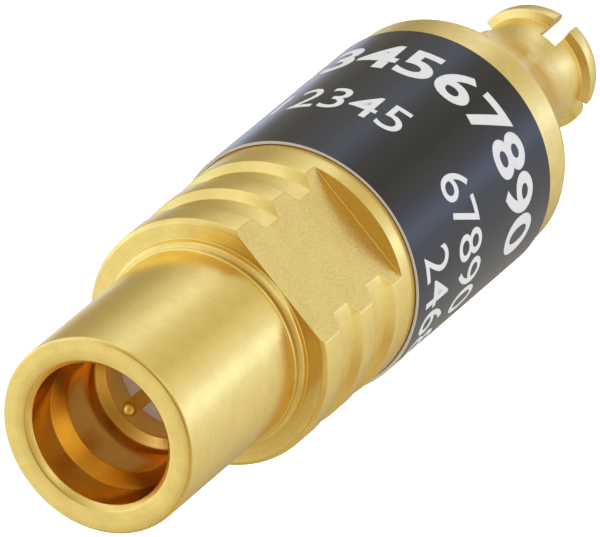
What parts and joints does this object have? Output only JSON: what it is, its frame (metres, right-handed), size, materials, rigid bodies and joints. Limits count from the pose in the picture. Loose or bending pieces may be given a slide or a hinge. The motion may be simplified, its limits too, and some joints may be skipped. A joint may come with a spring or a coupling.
{
  "type": "coaxial attenuator",
  "caption": "Small push-on in-line signal attenuator, with a snap-in pin plug at one end, a slotted socket jack at the other and a resistor chip inside.",
  "frame": {"origin": "centre of the finger tips' end face, on the connector's axis", "axes": "+Z along the axis, from the jack's lip to the plug's face; the wrench flats face -Y and +Y"},
  "size_m": [0.0066, 0.0066, 0.0234],
  "materials": {
    "gold_plated_shell": "gold plated over fine turning, satin",
    "gold_plated_contact": "gold plated, bright",
    "label_film": "satin printed film",
    "fluoropolymer": "waxy white",
    "spring_steel": "rolled",
    "alumina": "fired ceramic",
    "resistive_film": "sputtered film"
  },
  "bodies": {
    "root": {"plug_body": "gold_plated_shell", "jack_body": "gold_plated_shell", "label": "label_film", "plug_pin": "gold_plated_contact", "plug_insulator": "fluoropolymer", "plug_insulator_ring": "gold_plated_shell", "jack_socket": "gold_plated_contact", "jack_insulator": "fluoropolymer", "jack_insulator_ring": "gold_plated_shell", "upper_carrier": "gold_plated_shell", "lower_carrier": "gold_plated_shell", "spring_washer": "spring_steel", "chip_plate": "alumina", "resistor_film": "resistive_film", "input_pad": "gold_plated_contact", "output_pad": "gold_plated_contact", "left_ground_pad": "gold_plated_contact", "right_ground_pad": "gold_plated_contact", "front_contact_tab": "gold_plated_contact", "rear_contact_tab": "gold_plated_contact"}
  },
  "joints": []
}
